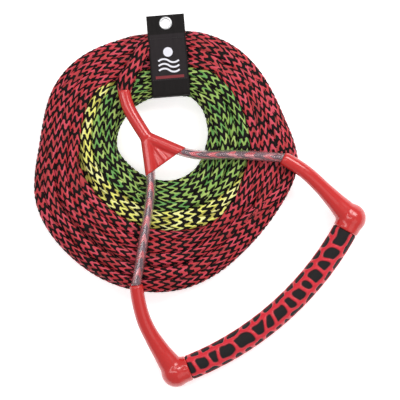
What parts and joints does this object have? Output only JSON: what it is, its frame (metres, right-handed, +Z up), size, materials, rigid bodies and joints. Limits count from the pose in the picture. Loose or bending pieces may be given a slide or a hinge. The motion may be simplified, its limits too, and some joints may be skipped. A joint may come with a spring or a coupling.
{
  "type": "tow rope handle",
  "caption": "Water-ski tow rope coiled flat in a hook-and-loop keeper, with a curved two-hand foam grip on a Y bridle with clear hoses.",
  "frame": {"origin": "on the floor under the middle of the box round the handle and the keeper", "axes": "+Z up from the floor; +Y towards the keeper's hanging tab; +X to the right seen from above"},
  "size_m": [0.4226, 0.475, 0.0563],
  "materials": {
    "red_rope": "braided polyethylene, red and black",
    "yellow_rope": "braided polyethylene, yellow and black",
    "green_rope": "braided polyethylene, green and black",
    "core_rope": "braided polyethylene pulled tight",
    "webbing": "black woven webbing",
    "loop_tape": "black loop tape",
    "hook_tape": "black hook tape",
    "eyelet_metal": "nickel plated",
    "white_print": "screen print",
    "red_print": "screen print",
    "red_moulding": "glossy moulded vinyl",
    "clear_hose": "clear vinyl",
    "bar_aluminium": "plain drawn tube",
    "grip_foam": "two-colour foam grip",
    "plug_plastic": "moulded"
  },
  "bodies": {
    "coil": {"red_rope_coil": "red_rope", "yellow_rope_coil": "yellow_rope", "green_rope_coil": "green_rope", "boat_loop": "green_rope", "keeper_strap": "webbing", "loop_patch": "loop_tape"},
    "flap": {"keeper_flap": "webbing", "hook_patch": "hook_tape", "hang_eyelet": "eyelet_metal", "eyelet_washer": "eyelet_metal", "printed_emblem": "white_print", "printed_stripe": "red_print"},
    "bridle": {"handle_rope": "red_rope", "bridle_yoke": "red_moulding", "yoke_splice": "core_rope", "hose_left": "clear_hose", "hose_right": "clear_hose", "bridle_rope_left": "core_rope", "bridle_rope_right": "core_rope"},
    "bar": {"bar_tube": "bar_aluminium", "grip_sleeve": "grip_foam", "boot_left": "red_moulding", "boot_right": "red_moulding", "tail_rope_left": "core_rope", "tail_rope_right": "core_rope", "stopper_knot_left": "core_rope", "stopper_knot_right": "core_rope", "bar_plug_left": "plug_plastic", "bar_plug_right": "plug_plastic"}
  },
  "joints": [
    {"name": "handle_lift", "type": "hinge", "parent": "coil", "child": "bridle", "pos_m": [-0.1288, 0.1861, 0.0446], "axis": [-0.89, -0.456, 0], "range_deg": [0, 95]},
    {"name": "bar_swing", "type": "hinge", "parent": "bridle", "child": "bar", "pos_m": [0.0502, 0.0546, 0.0475], "axis": [-0.756, -0.6546, 0], "range_deg": [0, 75]},
    {"name": "keeper_open", "type": "hinge", "parent": "coil", "child": "flap", "pos_m": [-0.0901, 0.1335, 0.0417], "axis": [0.9967, 0.0814, 0], "range_deg": [0, 100]}
  ]
}
